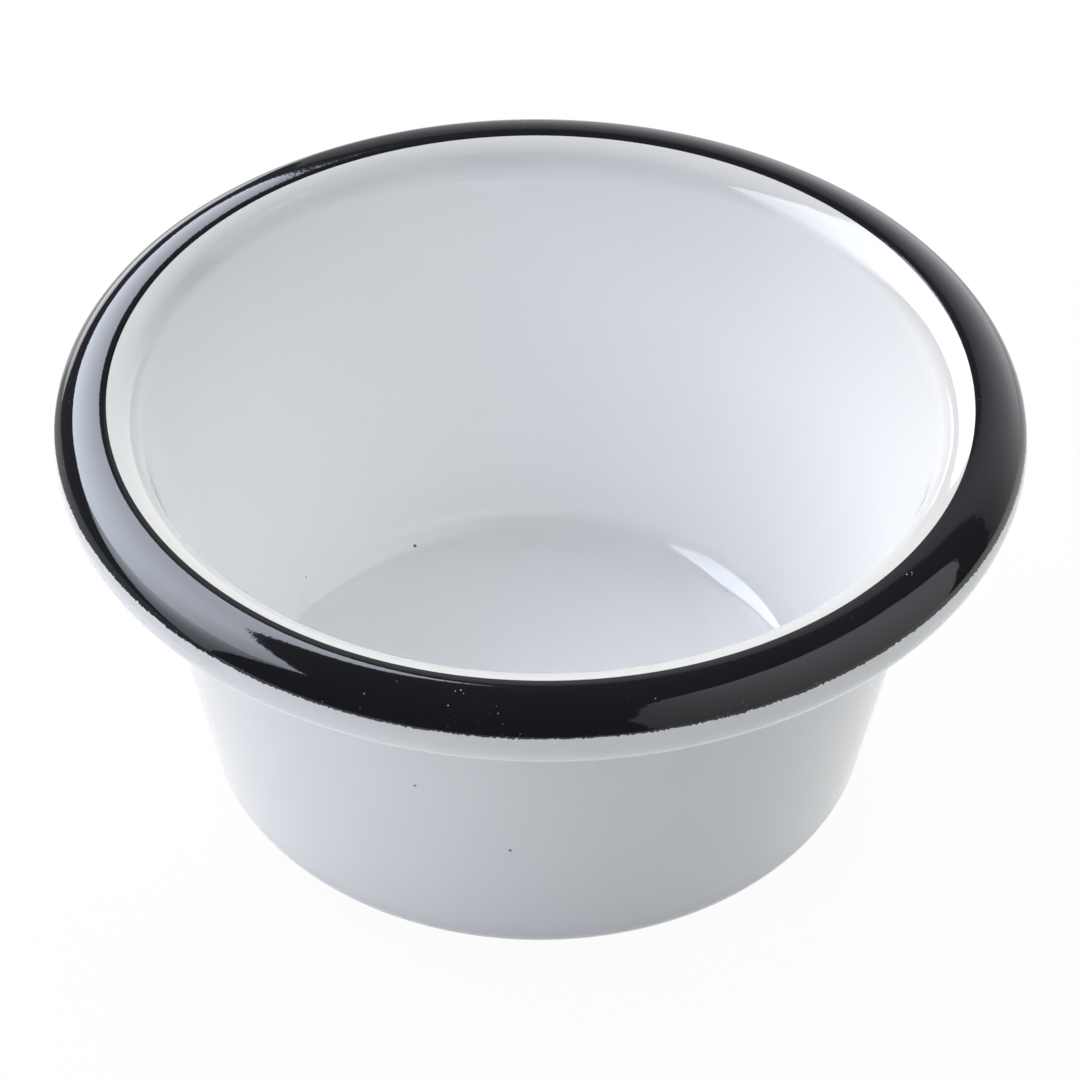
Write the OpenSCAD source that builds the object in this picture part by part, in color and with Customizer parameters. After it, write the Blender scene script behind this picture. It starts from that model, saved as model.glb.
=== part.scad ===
// Enamelled steel ramekin with a rolled rim and a black rim band.
// Every piece is a turned section about the Z axis, in millimetres, standing on Z = 0.
// The sheet and its coats are one stack: each layer lies at a depth under the bowl's inner face,
// and that face runs on over the lip, the crown and the roll, where it becomes the outside.
// Angles round the rim are those of the face's outward normal: 0 points straight out, 90 up.

/* [Bowl] */
// Diameter over the rolled rim
rim_d = 80; // [70:0.5:90]
// Height from the table to the top of the rim
bowl_h = 37.3; // [32:0.1:44]
// Lean of the wall from upright, in degrees
wall_lean = 10.8; // [6:0.1:14]
// Radius inside the bowl where the floor turns up into the wall
floor_fillet = 1.5; // [0.8:0.1:4]

/* [Rolled rim] */
// Radius of the lip, where the wall turns out towards the crown
lip_r = 6.2; // [4.5:0.1:8]
// Radius of the crown, the top of the rim
crown_r = 3; // [2.2:0.1:3.4]
// Radius of the roll, from the rim's outer side round to its cut edge
roll_r = 3.2; // [2.8:0.1:4]
// Angle where the lip ends and the crown begins
crown_start = 134; // [120:1:145]
// Angle where the crown ends and the roll begins
roll_start = 70; // [55:1:85]
// Gap between the roll's cut edge and the wall, which the outside enamel bridges
edge_gap = 0.3; // [0.1:0.05:0.6]
// Radius of the enamel's fillet in the corner under the roll
seam_r = 0.8; // [0.4:0.1:1.4]

/* [Sheet and coats] */
// Thickness of the steel sheet
steel_t = 0.6; // [0.4:0.05:1]
// Thickness of the dark ground coat on each face of the sheet
ground_t = 0.1; // [0.05:0.01:0.15]
// Thickness of the white and black cover coats
cover_t = 0.2; // [0.1:0.01:0.3]
// Angle where the black band begins, on the bowl's side of the crown
band_start = 116; // [100:1:130]
// Angle where the black band ends, on the rim's outer side
band_end = 17; // [0:1:45]

/* [Hidden] */

// Widest turn, in degrees, between two points of a rounded stretch
arc_step = 5;
$fn = 120;

// Depths of the layers under the inner face
ground_depth = cover_t;
steel_depth = ground_depth + ground_t;
outer_ground_depth = steel_depth + steel_t;
outer_cover_depth = outer_ground_depth + ground_t;
wall_t = outer_cover_depth + cover_t;

// Unit vector at an angle in the section plane
function dir(a) = [cos(a), sin(a)];

// Normal of the wall's inner face
wall_normal = 180 - wall_lean;

// Centres of the rim's three arcs, tangent to each other and to the wall
roll_c = [rim_d / 2 - roll_r, bowl_h - crown_r - (roll_r - crown_r) * sin(roll_start)];
crown_c = roll_c + (roll_r - crown_r) * dir(roll_start);
lip_c = crown_c + (crown_r - lip_r) * dir(crown_start);
wall_top = lip_c + lip_r * dir(wall_normal);

// Centre of the fillet between floor and wall
fillet_z = wall_t + floor_fillet;
fillet_c = [
    wall_top.x + (floor_fillet - (fillet_z - wall_top.y) * sin(wall_normal)) / cos(wall_normal),
    fillet_z
];

// Angle of a point about the lip's centre, from 0 to 360
function lip_angle(p) = let (a = atan2(p.y - lip_c.y, p.x - lip_c.x)) a < 0 ? a + 360 : a;

// The sheet beside a point under the roll: its normal there, the point's depth, and the nearest point
function beside_lip(p) = lip_angle(p) < wall_normal;
function face_normal(p) = min(lip_angle(p), wall_normal);
function face_depth(p) =
    beside_lip(p) ? lip_r - norm(p - lip_c) : (wall_top - p) * dir(wall_normal);
function on_face(p, depth) = p + (face_depth(p) - depth) * dir(face_normal(p));

// Point at radius r about the roll's centre, past the underside, that lies at a depth from the sheet
function under_roll(r, depth) =
    let (
        wall_reach = (wall_top - roll_c) * dir(wall_normal) - depth,
        by_wall = roll_c + r * dir(wall_normal - 360 + acos(wall_reach / r)),
        to_lip = lip_c - roll_c,
        turn = acos((to_lip * to_lip + r * r - pow(lip_r - depth, 2)) / (2 * r * norm(to_lip))),
        by_lip = roll_c + r * dir(atan2(to_lip.y, to_lip.x) - turn)
    )
    beside_lip(by_wall) ? by_lip : by_wall;

// Angle on the roll of a point under it
function roll_angle(p) = atan2(p.y - roll_c.y, p.x - roll_c.x);

// The roll's cut edge, where the ground-coated sheet stops short of the wall
edge_tip = under_roll(roll_r - ground_depth, outer_cover_depth + edge_gap);
edge_angle = roll_angle(edge_tip);

// The fillet under the roll touches the roll and the outside of the sheet
seam_c = under_roll(roll_r + seam_r, wall_t + seam_r);
seam_angle = roll_angle(seam_c);

// Points along an arc from angle a0 to just short of angle a1
function arc(c, r, a0, a1) =
    let (n = ceil(abs(a1 - a0) / arc_step))
    [for (i = [0:n - 1]) c + r * dir(a0 + (a1 - a0) * i / n)];

// Floor and floor fillet at a depth, from the axis to the foot of the wall
function bowl_face(depth) = concat(
    [[0, wall_t - depth]],
    arc(fillet_c, -floor_fillet - depth, 90, wall_normal),
    [fillet_c - (floor_fillet + depth) * dir(wall_normal)]
);

// Angles round the rim, shared by all layers so that they meet face to face: every place where an
// arc or a coat ends, the top and the widest place, with even steps between
function falling(v) =
    len(v) < 2 ? v :
    let (mid = v[floor(len(v) / 2)])
    concat(falling([for (a = v) if (a > mid) a]), [mid], falling([for (a = v) if (a < mid) a]));
rim_stops = falling([
    wall_normal, face_normal(seam_c), face_normal(edge_tip), crown_start, band_start,
    90, roll_start, band_end, 0, seam_angle, edge_angle
]);
rim_angles = concat(
    [for (i = [1:len(rim_stops) - 1])
        let (from = rim_stops[i - 1], to = rim_stops[i], n = ceil((from - to) / arc_step))
        for (k = [0:n - 1]) from + (to - from) * k / n],
    [edge_angle]
);

// Rim at a depth, from angle a0 down to angle a1
function rim_point(depth, a) =
    a > crown_start ? lip_c + (lip_r - depth) * dir(a) :
    a > roll_start ? crown_c + (crown_r - depth) * dir(a) :
    roll_c + (roll_r - depth) * dir(a);
function rim_face(depth, a0, a1) = [
    for (a = rim_angles) if (a <= a0 && a >= a1) rim_point(depth, a)
];

// Inner face at a depth, from the axis over the rim to an angle, with a point beside the roll's edge
// so that the sheet meets its outside coats corner to corner
function inner_face(depth, a1) = concat(
    bowl_face(depth),
    beside_lip(edge_tip) ? [] : [on_face(edge_tip, depth)],
    rim_face(depth, wall_normal, a1)
);

// Outer face at a depth, from the axis up the sheet to the place beside a point under the roll
function outer_face(depth, p) = concat(
    bowl_face(depth),
    beside_lip(p) ? rim_face(depth, wall_normal, face_normal(p)) : [on_face(p, depth)]
);

function reversed(points) = [for (i = [len(points) - 1:-1:0]) points[i]];

// Solid of revolution between two faces of the section
module layer(face, back) {
    rotate_extrude()
        polygon(concat(face, reversed(back)));
}

// Pressed sheet: floor, wall and the rim rolled outward to its cut edge under the crown
module steel_shell() {
    color("slategray")
        layer(inner_face(steel_depth, edge_angle), inner_face(outer_ground_depth, edge_angle));
}

// Ground coat inside the bowl and over the roll as far as its cut edge
module inner_ground_coat() {
    color("midnightblue")
        layer(inner_face(ground_depth, edge_angle), inner_face(steel_depth, edge_angle));
}

// Ground coat under the base and up the outside of the wall
module outer_ground_coat() {
    color("midnightblue")
        layer(outer_face(outer_ground_depth, edge_tip), outer_face(outer_cover_depth, edge_tip));
}

// White cover coat inside the bowl, up over the lip to the black band
module inner_white_enamel() {
    color("white")
        layer(inner_face(0, band_start), inner_face(ground_depth, band_start));
}

// White cover coat outside: base, wall, the filled corner and the roll up to the black band
module outer_white_enamel() {
    corner = arc(seam_c, seam_r, face_normal(seam_c), seam_angle + 180);
    outside = concat(
        outer_face(wall_t, seam_c),
        [for (i = [1:len(corner) - 1]) corner[i]],
        reversed(rim_face(0, band_end, seam_angle))
    );
    backing = concat(
        outer_face(outer_cover_depth, edge_tip),
        reversed(rim_face(ground_depth, band_end, edge_angle))
    );
    color("whitesmoke")
        layer(outside, backing);
}

// Black cover coat round the crown, butted against the white coats at both edges
module black_rim_enamel() {
    color([0.07, 0.07, 0.07])
        layer(rim_face(0, band_start, band_end), rim_face(ground_depth, band_start, band_end));
}

steel_shell();
inner_ground_coat();
outer_ground_coat();
inner_white_enamel();
outer_white_enamel();
black_rim_enamel();
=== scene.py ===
"""Looks of the enamelled ramekin, built round its packed construction.

The three coats that show are turned again as fine meshes, so that their gloss is clean and the black
band gets the ragged edge of a brushed-on bead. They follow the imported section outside, and stand a
little fuller in the bowl and flatter on the crown. Every piece has its fired finish, and a floor, soft
lights and a camera stand round the dish.
Lengths in the size classes are millimetres and angles degrees. Meshes are in metres.
"""

import logging
import math
import random
from dataclasses import dataclass, replace
from enum import Enum
from functools import cached_property
from typing import Any, NamedTuple

import bpy
from mathutils import Euler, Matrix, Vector


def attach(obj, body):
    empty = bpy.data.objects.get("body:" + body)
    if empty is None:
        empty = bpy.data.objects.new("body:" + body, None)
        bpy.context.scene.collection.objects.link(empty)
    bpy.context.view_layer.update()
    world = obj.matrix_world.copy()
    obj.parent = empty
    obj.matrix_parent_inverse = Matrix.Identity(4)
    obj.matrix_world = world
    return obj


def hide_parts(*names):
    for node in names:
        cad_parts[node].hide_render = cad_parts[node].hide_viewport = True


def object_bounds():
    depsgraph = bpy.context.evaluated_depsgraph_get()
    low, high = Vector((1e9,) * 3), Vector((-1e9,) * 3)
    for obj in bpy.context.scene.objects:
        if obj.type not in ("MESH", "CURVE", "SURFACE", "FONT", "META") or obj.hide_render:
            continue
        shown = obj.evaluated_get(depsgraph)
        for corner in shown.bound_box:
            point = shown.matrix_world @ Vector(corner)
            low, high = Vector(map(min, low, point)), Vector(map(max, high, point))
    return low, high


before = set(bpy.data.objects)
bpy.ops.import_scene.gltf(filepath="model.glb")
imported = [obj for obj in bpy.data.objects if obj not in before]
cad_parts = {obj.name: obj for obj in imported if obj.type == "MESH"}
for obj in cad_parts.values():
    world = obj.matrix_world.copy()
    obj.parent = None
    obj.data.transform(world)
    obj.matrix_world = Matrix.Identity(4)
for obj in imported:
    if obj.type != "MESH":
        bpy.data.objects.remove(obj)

CAD_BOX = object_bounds()
MM = 0.001
LOG = logging.getLogger("ramekin")

Colour = tuple[float, float, float]
# A small flaw's turn, its angle or height on the face, and its radius
Spot = tuple[float, float, float]

# The Mix node's sockets for colours
COLOUR_A, COLOUR_B, COLOUR_OUT = 6, 7, 2


class Body(Enum):
    """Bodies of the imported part."""

    DISH = "root"


class Node(Enum):
    """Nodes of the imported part."""

    STEEL = "steel_shell"
    INNER_GROUND = "inner_ground_coat"
    OUTER_GROUND = "outer_ground_coat"
    INNER_WHITE = "inner_white_enamel"
    OUTER_WHITE = "outer_white_enamel"
    BLACK_BAND = "black_rim_enamel"


class Slot(Enum):
    """The record's material slots for the coats that show."""

    WHITE = "white_enamel"
    BLACK = "black_enamel"


# Node trees


def add_node(tree: bpy.types.NodeTree, kind: str, inputs: dict | None = None,
             **settings: Any) -> bpy.types.Node:
    """Adds a node to a tree, sets it and feeds it.

    Args:
        tree: The tree that gets the node.
        kind: The node's type name.
        inputs: Values or source sockets by input name or number.
        settings: Properties of the node itself.

    Returns:
        The new node.
    """
    node = tree.nodes.new(kind)
    for name, value in settings.items():
        setattr(node, name, value)
    for key, value in (inputs or {}).items():
        if isinstance(value, bpy.types.NodeSocket):
            tree.links.new(value, node.inputs[key])
        else:
            node.inputs[key].default_value = value
    return node


def calc(tree: bpy.types.NodeTree, operation: str, *values: Any) -> bpy.types.NodeSocket:
    """Adds a math node on numbers or sockets and gives its result's socket."""
    return add_node(tree, "ShaderNodeMath", dict(enumerate(values)), operation=operation).outputs[0]


def whole(tree: bpy.types.NodeTree, operation: str, *values: Any) -> bpy.types.NodeSocket:
    """Adds an integer math node on numbers or sockets and gives its result's socket."""
    return add_node(tree, "FunctionNodeIntegerMath", dict(enumerate(values)), operation=operation).outputs[0]


def attribute(tree: bpy.types.NodeTree, name: str, kind: str) -> bpy.types.NodeSocket:
    """Adds a node that reads a named attribute and gives its value's socket."""
    return add_node(tree, "GeometryNodeInputNamedAttribute", {"Name": name}, data_type=kind).outputs[0]


def blend(tree: bpy.types.NodeTree, share: Any, first: Any, second: Any,
          way: str = "MIX") -> bpy.types.NodeSocket:
    """Adds a node that blends two colours.

    Args:
        tree: The tree that gets the node.
        share: Share of the second colour.
        first: First colour.
        second: Second colour.
        way: The node's blend type.

    Returns:
        The blend's socket.
    """
    inputs = {"Factor": share, COLOUR_A: first, COLOUR_B: second}
    return add_node(tree, "ShaderNodeMix", inputs, data_type="RGBA", blend_type=way).outputs[COLOUR_OUT]


def new_group(name: str, kind: str, inputs: dict[str, str], outputs: dict[str, str]) -> bpy.types.NodeTree:
    """Makes a node group with named sockets.

    Args:
        name: The group's name.
        kind: The tree's type name.
        inputs: Socket types by input name.
        outputs: Socket types by output name.

    Returns:
        The empty group.
    """
    tree = bpy.data.node_groups.new(name, kind)
    for side, sockets in (("INPUT", inputs), ("OUTPUT", outputs)):
        for label, socket_type in sockets.items():
            tree.interface.new_socket(label, in_out=side, socket_type=socket_type)
    return tree


def apply_tree(draft: bpy.types.Object, tree: bpy.types.NodeTree, values: dict[str, Any]) -> bpy.types.Object:
    """Runs a geometry tree on a draft object and keeps the result as its plain mesh.

    Args:
        draft: The object whose mesh feeds the tree.
        tree: The geometry tree.
        values: Values by the tree's input names.

    Returns:
        The same object, with no modifier left on it.
    """
    bpy.context.scene.collection.objects.link(draft)
    modifier = draft.modifiers.new(tree.name, "NODES")
    modifier.node_group = tree
    for item in tree.interface.items_tree:
        if item.in_out == "INPUT" and item.name in values:
            modifier[item.identifier] = values[item.name]
    depsgraph = bpy.context.evaluated_depsgraph_get()
    mesh = bpy.data.meshes.new_from_object(draft.evaluated_get(depsgraph))
    draft.modifiers.remove(modifier)
    rough = draft.data
    draft.data = mesh
    mesh.name = draft.name
    bpy.data.meshes.remove(rough)
    return draft


# The turned section


def toward(angle: float) -> Vector:
    """Unit vector in the section plane at an angle: 0 points straight out, 90 up."""
    return Vector((math.cos(math.radians(angle)), math.sin(math.radians(angle))))


def spread(start: float, end: float, step: float) -> list[float]:
    """Even values from start to end, both included, at most a step apart.

    Args:
        start: First value.
        end: Last value.
        step: Widest gap between two values.

    Returns:
        The values.
    """
    count = max(1, math.ceil(abs(end - start) / step))
    return [start + (end - start) * i / count for i in range(count + 1)]


class Rim:
    """A rim in section, known by the points of its face."""

    def rim_point(self, depth: float, angle: float) -> Vector:
        """Point at a depth under the face, where the face has an angle."""
        raise NotImplementedError

    def rim(self, depth: float, start: float, end: float, step: float) -> list[Vector]:
        """Points at a depth under the face from one angle to another, at most a step apart."""
        return [self.rim_point(depth, angle) for angle in spread(start, end, step)]


@dataclass(frozen=True)
class Section(Rim):
    """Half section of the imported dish, radius against height.

    Angles are those of the face's outward normal, and depth is measured inwards from the face that runs
    up inside the bowl and on over the rim. The floor's hem gives its last rings, in shares of a ring.
    """

    rim_radius: float
    height: float
    wall_lean: float = 10.8
    floor_fillet: float = 1.5
    lip_radius: float = 6.2
    crown_radius: float = 3.0
    roll_radius: float = 3.2
    crown_start: float = 134.0
    roll_start: float = 70.0
    edge_gap: float = 0.3
    seam_radius: float = 0.8
    cover: float = 0.2
    backing: float = 0.8
    floor_hem: tuple[float, float, float] = (0.6, 0.3, 0.1)

    @property
    def wall_normal(self) -> float:
        """Angle of the wall's inner face."""
        return 180.0 - self.wall_lean

    @property
    def wall(self) -> float:
        """Thickness of the sheet with all its coats."""
        return self.backing + 2 * self.cover

    @cached_property
    def roll_centre(self) -> Vector:
        """Places the roll.

        Returns:
            Centre of the roll's arc.
        """
        step = self.roll_radius - self.crown_radius
        drop = self.crown_radius + step * toward(self.roll_start).y
        return Vector((self.rim_radius - self.roll_radius, self.height - drop))

    @cached_property
    def crown_centre(self) -> Vector:
        """Centre of the crown's arc."""
        return self.roll_centre + (self.roll_radius - self.crown_radius) * toward(self.roll_start)

    @cached_property
    def lip_centre(self) -> Vector:
        """Centre of the lip's arc."""
        return self.crown_centre + (self.crown_radius - self.lip_radius) * toward(self.crown_start)

    @cached_property
    def wall_top(self) -> Vector:
        """Top of the straight wall's inner face."""
        return self.lip_centre + self.lip_radius * toward(self.wall_normal)

    @cached_property
    def fillet_centre(self) -> Vector:
        """Places the fillet between floor and wall.

        Returns:
            Centre of the fillet's arc.
        """
        height = self.wall + self.floor_fillet
        out = toward(self.wall_normal)
        shift = (self.floor_fillet - (height - self.wall_top.y) * out.y) / out.x
        return Vector((self.wall_top.x + shift, height))

    def under_roll(self, radius: float, depth: float) -> Vector:
        """Point under the roll.

        Args:
            radius: Distance from the roll's centre.
            depth: Depth beside the wall.

        Returns:
            The point.
        """
        reach = (self.wall_top - self.roll_centre).dot(toward(self.wall_normal)) - depth
        turn = math.degrees(math.acos(reach / radius))
        return self.roll_centre + radius * toward(self.wall_normal - 360.0 + turn)

    def roll_angle(self, point: Vector) -> float:
        """Angle on the roll of a point under it."""
        away = point - self.roll_centre
        return math.degrees(math.atan2(away.y, away.x))

    def rim_point(self, depth: float, angle: float) -> Vector:
        """Point on the rim.

        Args:
            depth: Depth under the face.
            angle: Angle of the face there.

        Returns:
            The point.
        """
        if angle > self.crown_start:
            return self.lip_centre + (self.lip_radius - depth) * toward(angle)
        if angle > self.roll_start:
            return self.crown_centre + (self.crown_radius - depth) * toward(angle)
        return self.roll_centre + (self.roll_radius - depth) * toward(angle)

    def bowl(self, depth: float, ring: float, step: float) -> list[Vector]:
        """Floor and its fillet, from the axis to the foot of the wall.

        Args:
            depth: Depth under the face.
            ring: Widest gap between two rings of the floor.
            step: Widest turn between two points of the fillet.

        Returns:
            The points.
        """
        last, *hem = [self.fillet_centre.x - ring * share for share in self.floor_hem]
        floor = [Vector((r, self.wall - depth)) for r in spread(0.0, last, ring) + hem]
        radius = self.floor_fillet + depth
        return floor + [self.fillet_centre - radius * toward(a) for a in spread(90.0, self.wall_normal, step)]


@dataclass(frozen=True)
class FiredFace(Rim):
    """The face as it was fired: flatter over the crown, and fuller towards the foot of the wall inside.

    Angles and depth are measured as in the section.
    """

    packed: Section
    wall_lean: float = 13.4
    lip_radius: float = 9.5
    floor_fillet: float = 3.0
    shoulder_radius: float = 2.9
    crown_radius: float = 4.5
    crown_sag: float = 0.13
    bend_start: float = 122.0
    flare_radius: float = 10.0
    flare_turn: float = 10.0
    band_start: float = 103.0
    band_end: float = 16.5

    @cached_property
    def bowl(self) -> Section:
        """The section with its lip, wall foot and floor corner filled, for the inside of the bowl."""
        return replace(
            self.packed, wall_lean=self.wall_lean, lip_radius=self.lip_radius, floor_fillet=self.floor_fillet)

    @cached_property
    def shoulder_centre(self) -> Vector:
        """Places the shoulder between the roll's side and the crown.

        Returns:
            Centre of the shoulder's arc.
        """
        rise = (self.crown_radius - self.shoulder_radius) * toward(self.packed.roll_start).y
        foot = self.packed.height - self.crown_sag - self.crown_radius
        return Vector((self.packed.rim_radius - self.shoulder_radius, foot + rise))

    @cached_property
    def crown_centre(self) -> Vector:
        """Centre of the crown's arc."""
        step = self.shoulder_radius - self.crown_radius
        return self.shoulder_centre + step * toward(self.packed.roll_start)

    @property
    def flare_start(self) -> float:
        """Angle where the bend runs out into the flare."""
        return self.bowl.wall_normal - self.flare_turn

    @cached_property
    def bend_radius(self) -> float:
        """Fits the bend between crown and flare so that the flare runs on into the wall.

        Returns:
            Radius of the bend.
        """
        inside = toward(self.bowl.wall_normal)
        start = self.crown_centre + self.crown_radius * toward(self.bend_start)
        flare = inside.dot(toward(self.flare_start))
        gap = (self.bowl.wall_top - start).dot(inside) - self.flare_radius * (1.0 - flare)
        return gap / (flare - inside.dot(toward(self.bend_start)))

    @cached_property
    def bend_centre(self) -> Vector:
        """Centre of the bend's arc."""
        return self.crown_centre + (self.crown_radius - self.bend_radius) * toward(self.bend_start)

    @cached_property
    def flare_centre(self) -> Vector:
        """Centre of the flare's arc."""
        return self.bend_centre + (self.bend_radius - self.flare_radius) * toward(self.flare_start)

    def rim_point(self, depth: float, angle: float) -> Vector:
        """Point on the rim, from the wall over the crown down to the roll's side.

        Args:
            depth: Depth under the face.
            angle: Angle of the face there.

        Returns:
            The point.
        """
        if angle > self.flare_start:
            return self.flare_centre + (self.flare_radius - depth) * toward(angle)
        if angle > self.bend_start:
            return self.bend_centre + (self.bend_radius - depth) * toward(angle)
        if angle > self.packed.roll_start:
            return self.crown_centre + (self.crown_radius - depth) * toward(angle)
        return self.shoulder_centre + (self.shoulder_radius - depth) * toward(angle)


# Distances of a straight stretch's outermost points from its ends
STRAIGHT_HEM = (0.1, 0.4, 1.0)


def straight(start: Vector, end: Vector, step: float) -> list[Vector]:
    """Points between two ends of a straight stretch, closer near both so that its shading stays straight.

    Args:
        start: First end, not included.
        end: Last end, not included.
        step: Widest gap between two points.

    Returns:
        The points.
    """
    length = (end - start).length
    *hem, inner = STRAIGHT_HEM
    along = hem + spread(inner, length - inner, step) + [length - h for h in reversed(hem)]
    return [start.lerp(end, distance / length) for distance in along]


# Shared shader effects

# The orange peel's broad waves: their scale and their height against the fine ones
BROAD_SCALE, BROAD_HEIGHT = 0.18, 2.0


def fired_gloss_group() -> bpy.types.NodeTree:
    """Surface of a fired coat: fine orange peel for the bump and a faint cloudiness.

    Returns:
        A group that takes a position, the peel's length and the clouds' length, both in metres.
    """
    tree = new_group(
        "Fired gloss",
        "ShaderNodeTree",
        {"Position": "NodeSocketVector", "Peel Length": "NodeSocketFloat", "Cloud Length": "NodeSocketFloat"},
        {"Height": "NodeSocketFloat", "Cloud": "NodeSocketFloat"},
    )
    given = tree.nodes.new("NodeGroupInput").outputs
    made = tree.nodes.new("NodeGroupOutput").inputs
    peel_scale = calc(tree, "DIVIDE", 1.0, given["Peel Length"])
    broad_scale = calc(tree, "MULTIPLY", peel_scale, BROAD_SCALE)
    cloud_scale = calc(tree, "DIVIDE", 1.0, given["Cloud Length"])
    waves = []
    for scale, detail, roughness in (
            (peel_scale, 1.0, 0.5), (broad_scale, 1.0, 0.4), (cloud_scale, 3.0, 0.55)):
        noise = add_node(tree, "ShaderNodeTexNoise", {
            "Vector": given["Position"], "Scale": scale, "Detail": detail, "Roughness": roughness})
        waves.append(noise.outputs[0])
    peel, broad, cloud = waves
    tree.links.new(calc(tree, "MULTIPLY_ADD", broad, BROAD_HEIGHT, peel), made["Height"])
    tree.links.new(cloud, made["Cloud"])
    return tree


def specks_group() -> bpy.types.NodeTree:
    """Sparse round specks, as a mask.

    Returns:
        A group that takes a position, the specks' spacing in metres, their share of it and how many show.
    """
    tree = new_group(
        "Specks",
        "ShaderNodeTree",
        {"Position": "NodeSocketVector", "Spacing": "NodeSocketFloat", "Size": "NodeSocketFloat",
         "Share": "NodeSocketFloat"},
        {"Mask": "NodeSocketFloat"},
    )
    given = tree.nodes.new("NodeGroupInput").outputs
    made = tree.nodes.new("NodeGroupOutput").inputs
    cells = add_node(tree, "ShaderNodeTexVoronoi", {
        "Vector": given["Position"], "Scale": calc(tree, "DIVIDE", 1.0, given["Spacing"])})
    near = calc(tree, "LESS_THAN", cells.outputs["Distance"], given["Size"])
    shade = add_node(tree, "ShaderNodeSeparateColor", {0: cells.outputs["Color"]})
    chosen = calc(tree, "LESS_THAN", shade.outputs[0], given["Share"])
    tree.links.new(calc(tree, "MULTIPLY", near, chosen), made["Mask"])
    return tree


class SharedGroups:
    """Shader groups that several finishes use, built once."""

    def __init__(self) -> None:
        """Builds the groups."""
        self.gloss = fired_gloss_group()
        self.specks = specks_group()


# Finishes


def new_material(name: str) -> tuple[bpy.types.Material, bpy.types.NodeTree]:
    """Makes a material with an empty node tree.

    Args:
        name: The material's name.

    Returns:
        The material and its tree.
    """
    material = bpy.data.materials.new(name)
    material.use_nodes = True
    material.node_tree.nodes.clear()
    return material, material.node_tree


@dataclass(frozen=True)
class EnamelFinish:
    """Fired glass enamel with orange peel, faint clouds and a few specks of another colour.

    Its painted shade stops give heights with a factor on the colour there: painted shade that greys the
    coat over the floor and on the lip.
    """

    name: str
    colour: Colour
    cloud_colour: Colour
    speck_colour: Colour
    roughness: float
    cloud_roughness: float
    refraction: float
    peel_length: float = 0.28
    peel_depth: float = 0.002
    cloud_length: float = 9.0
    speck_spacing: float = 2.4
    speck_size: float = 0.03
    speck_share: float = 0.05
    painted_shade_stops: tuple[tuple[float, float], ...] = ()

    def shade(self, tree: bpy.types.NodeTree, place: bpy.types.NodeSocket) -> bpy.types.NodeSocket:
        """Painted shade of the coat by its height, as a factor on its colour.

        Args:
            tree: The material's tree.
            place: Socket of the position.

        Returns:
            The shade's socket.
        """
        top = self.painted_shade_stops[-1][0]
        height = add_node(tree, "ShaderNodeSeparateXYZ", {0: place}).outputs["Z"]
        ramp = add_node(tree, "ShaderNodeValToRGB", {"Fac": calc(tree, "DIVIDE", height, top * MM)})
        stops = ramp.color_ramp.elements
        for stop, (level, shade) in zip([stops[0], stops[1]], (self.painted_shade_stops[0], self.painted_shade_stops[-1])):
            stop.position = level / top
            stop.color = (shade, shade, shade, 1)
        for level, shade in self.painted_shade_stops[1:-1]:
            stops.new(level / top).color = (shade, shade, shade, 1)
        return ramp.outputs[0]

    def material(self, groups: SharedGroups) -> bpy.types.Material:
        """Builds the material.

        Args:
            groups: The shared shader groups.

        Returns:
            The material.
        """
        material, tree = new_material(self.name)
        place = add_node(tree, "ShaderNodeTexCoord").outputs["Object"]
        gloss = add_node(tree, "ShaderNodeGroup", node_tree=groups.gloss)
        gloss.inputs["Peel Length"].default_value = self.peel_length * MM
        gloss.inputs["Cloud Length"].default_value = self.cloud_length * MM
        tree.links.new(place, gloss.inputs["Position"])
        specks = add_node(tree, "ShaderNodeGroup", node_tree=groups.specks)
        specks.inputs["Spacing"].default_value = self.speck_spacing * MM
        specks.inputs["Size"].default_value = self.speck_size
        specks.inputs["Share"].default_value = self.speck_share
        tree.links.new(place, specks.inputs["Position"])
        tone = blend(tree, gloss.outputs["Cloud"], (*self.colour, 1), (*self.cloud_colour, 1))
        # Painted shade: the colour is darkened over the floor and on the lip.
        if self.painted_shade_stops:
            tone = blend(tree, 1.0, tone, self.shade(tree, place), "MULTIPLY")
        flecked = blend(tree, specks.outputs["Mask"], tone, (*self.speck_colour, 1))
        sheen = add_node(tree, "ShaderNodeMapRange", {
            "Value": gloss.outputs["Cloud"], "To Min": self.roughness, "To Max": self.cloud_roughness})
        bump = add_node(tree, "ShaderNodeBump", {
            "Height": gloss.outputs["Height"], "Strength": 1.0, "Distance": self.peel_depth * MM})
        shader = add_node(tree, "ShaderNodeBsdfPrincipled", {
            "Base Color": flecked, "Roughness": sheen.outputs[0], "Normal": bump.outputs[0],
            "IOR": self.refraction})
        add_node(tree, "ShaderNodeOutputMaterial", {"Surface": shader.outputs[0]})
        return material


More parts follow.
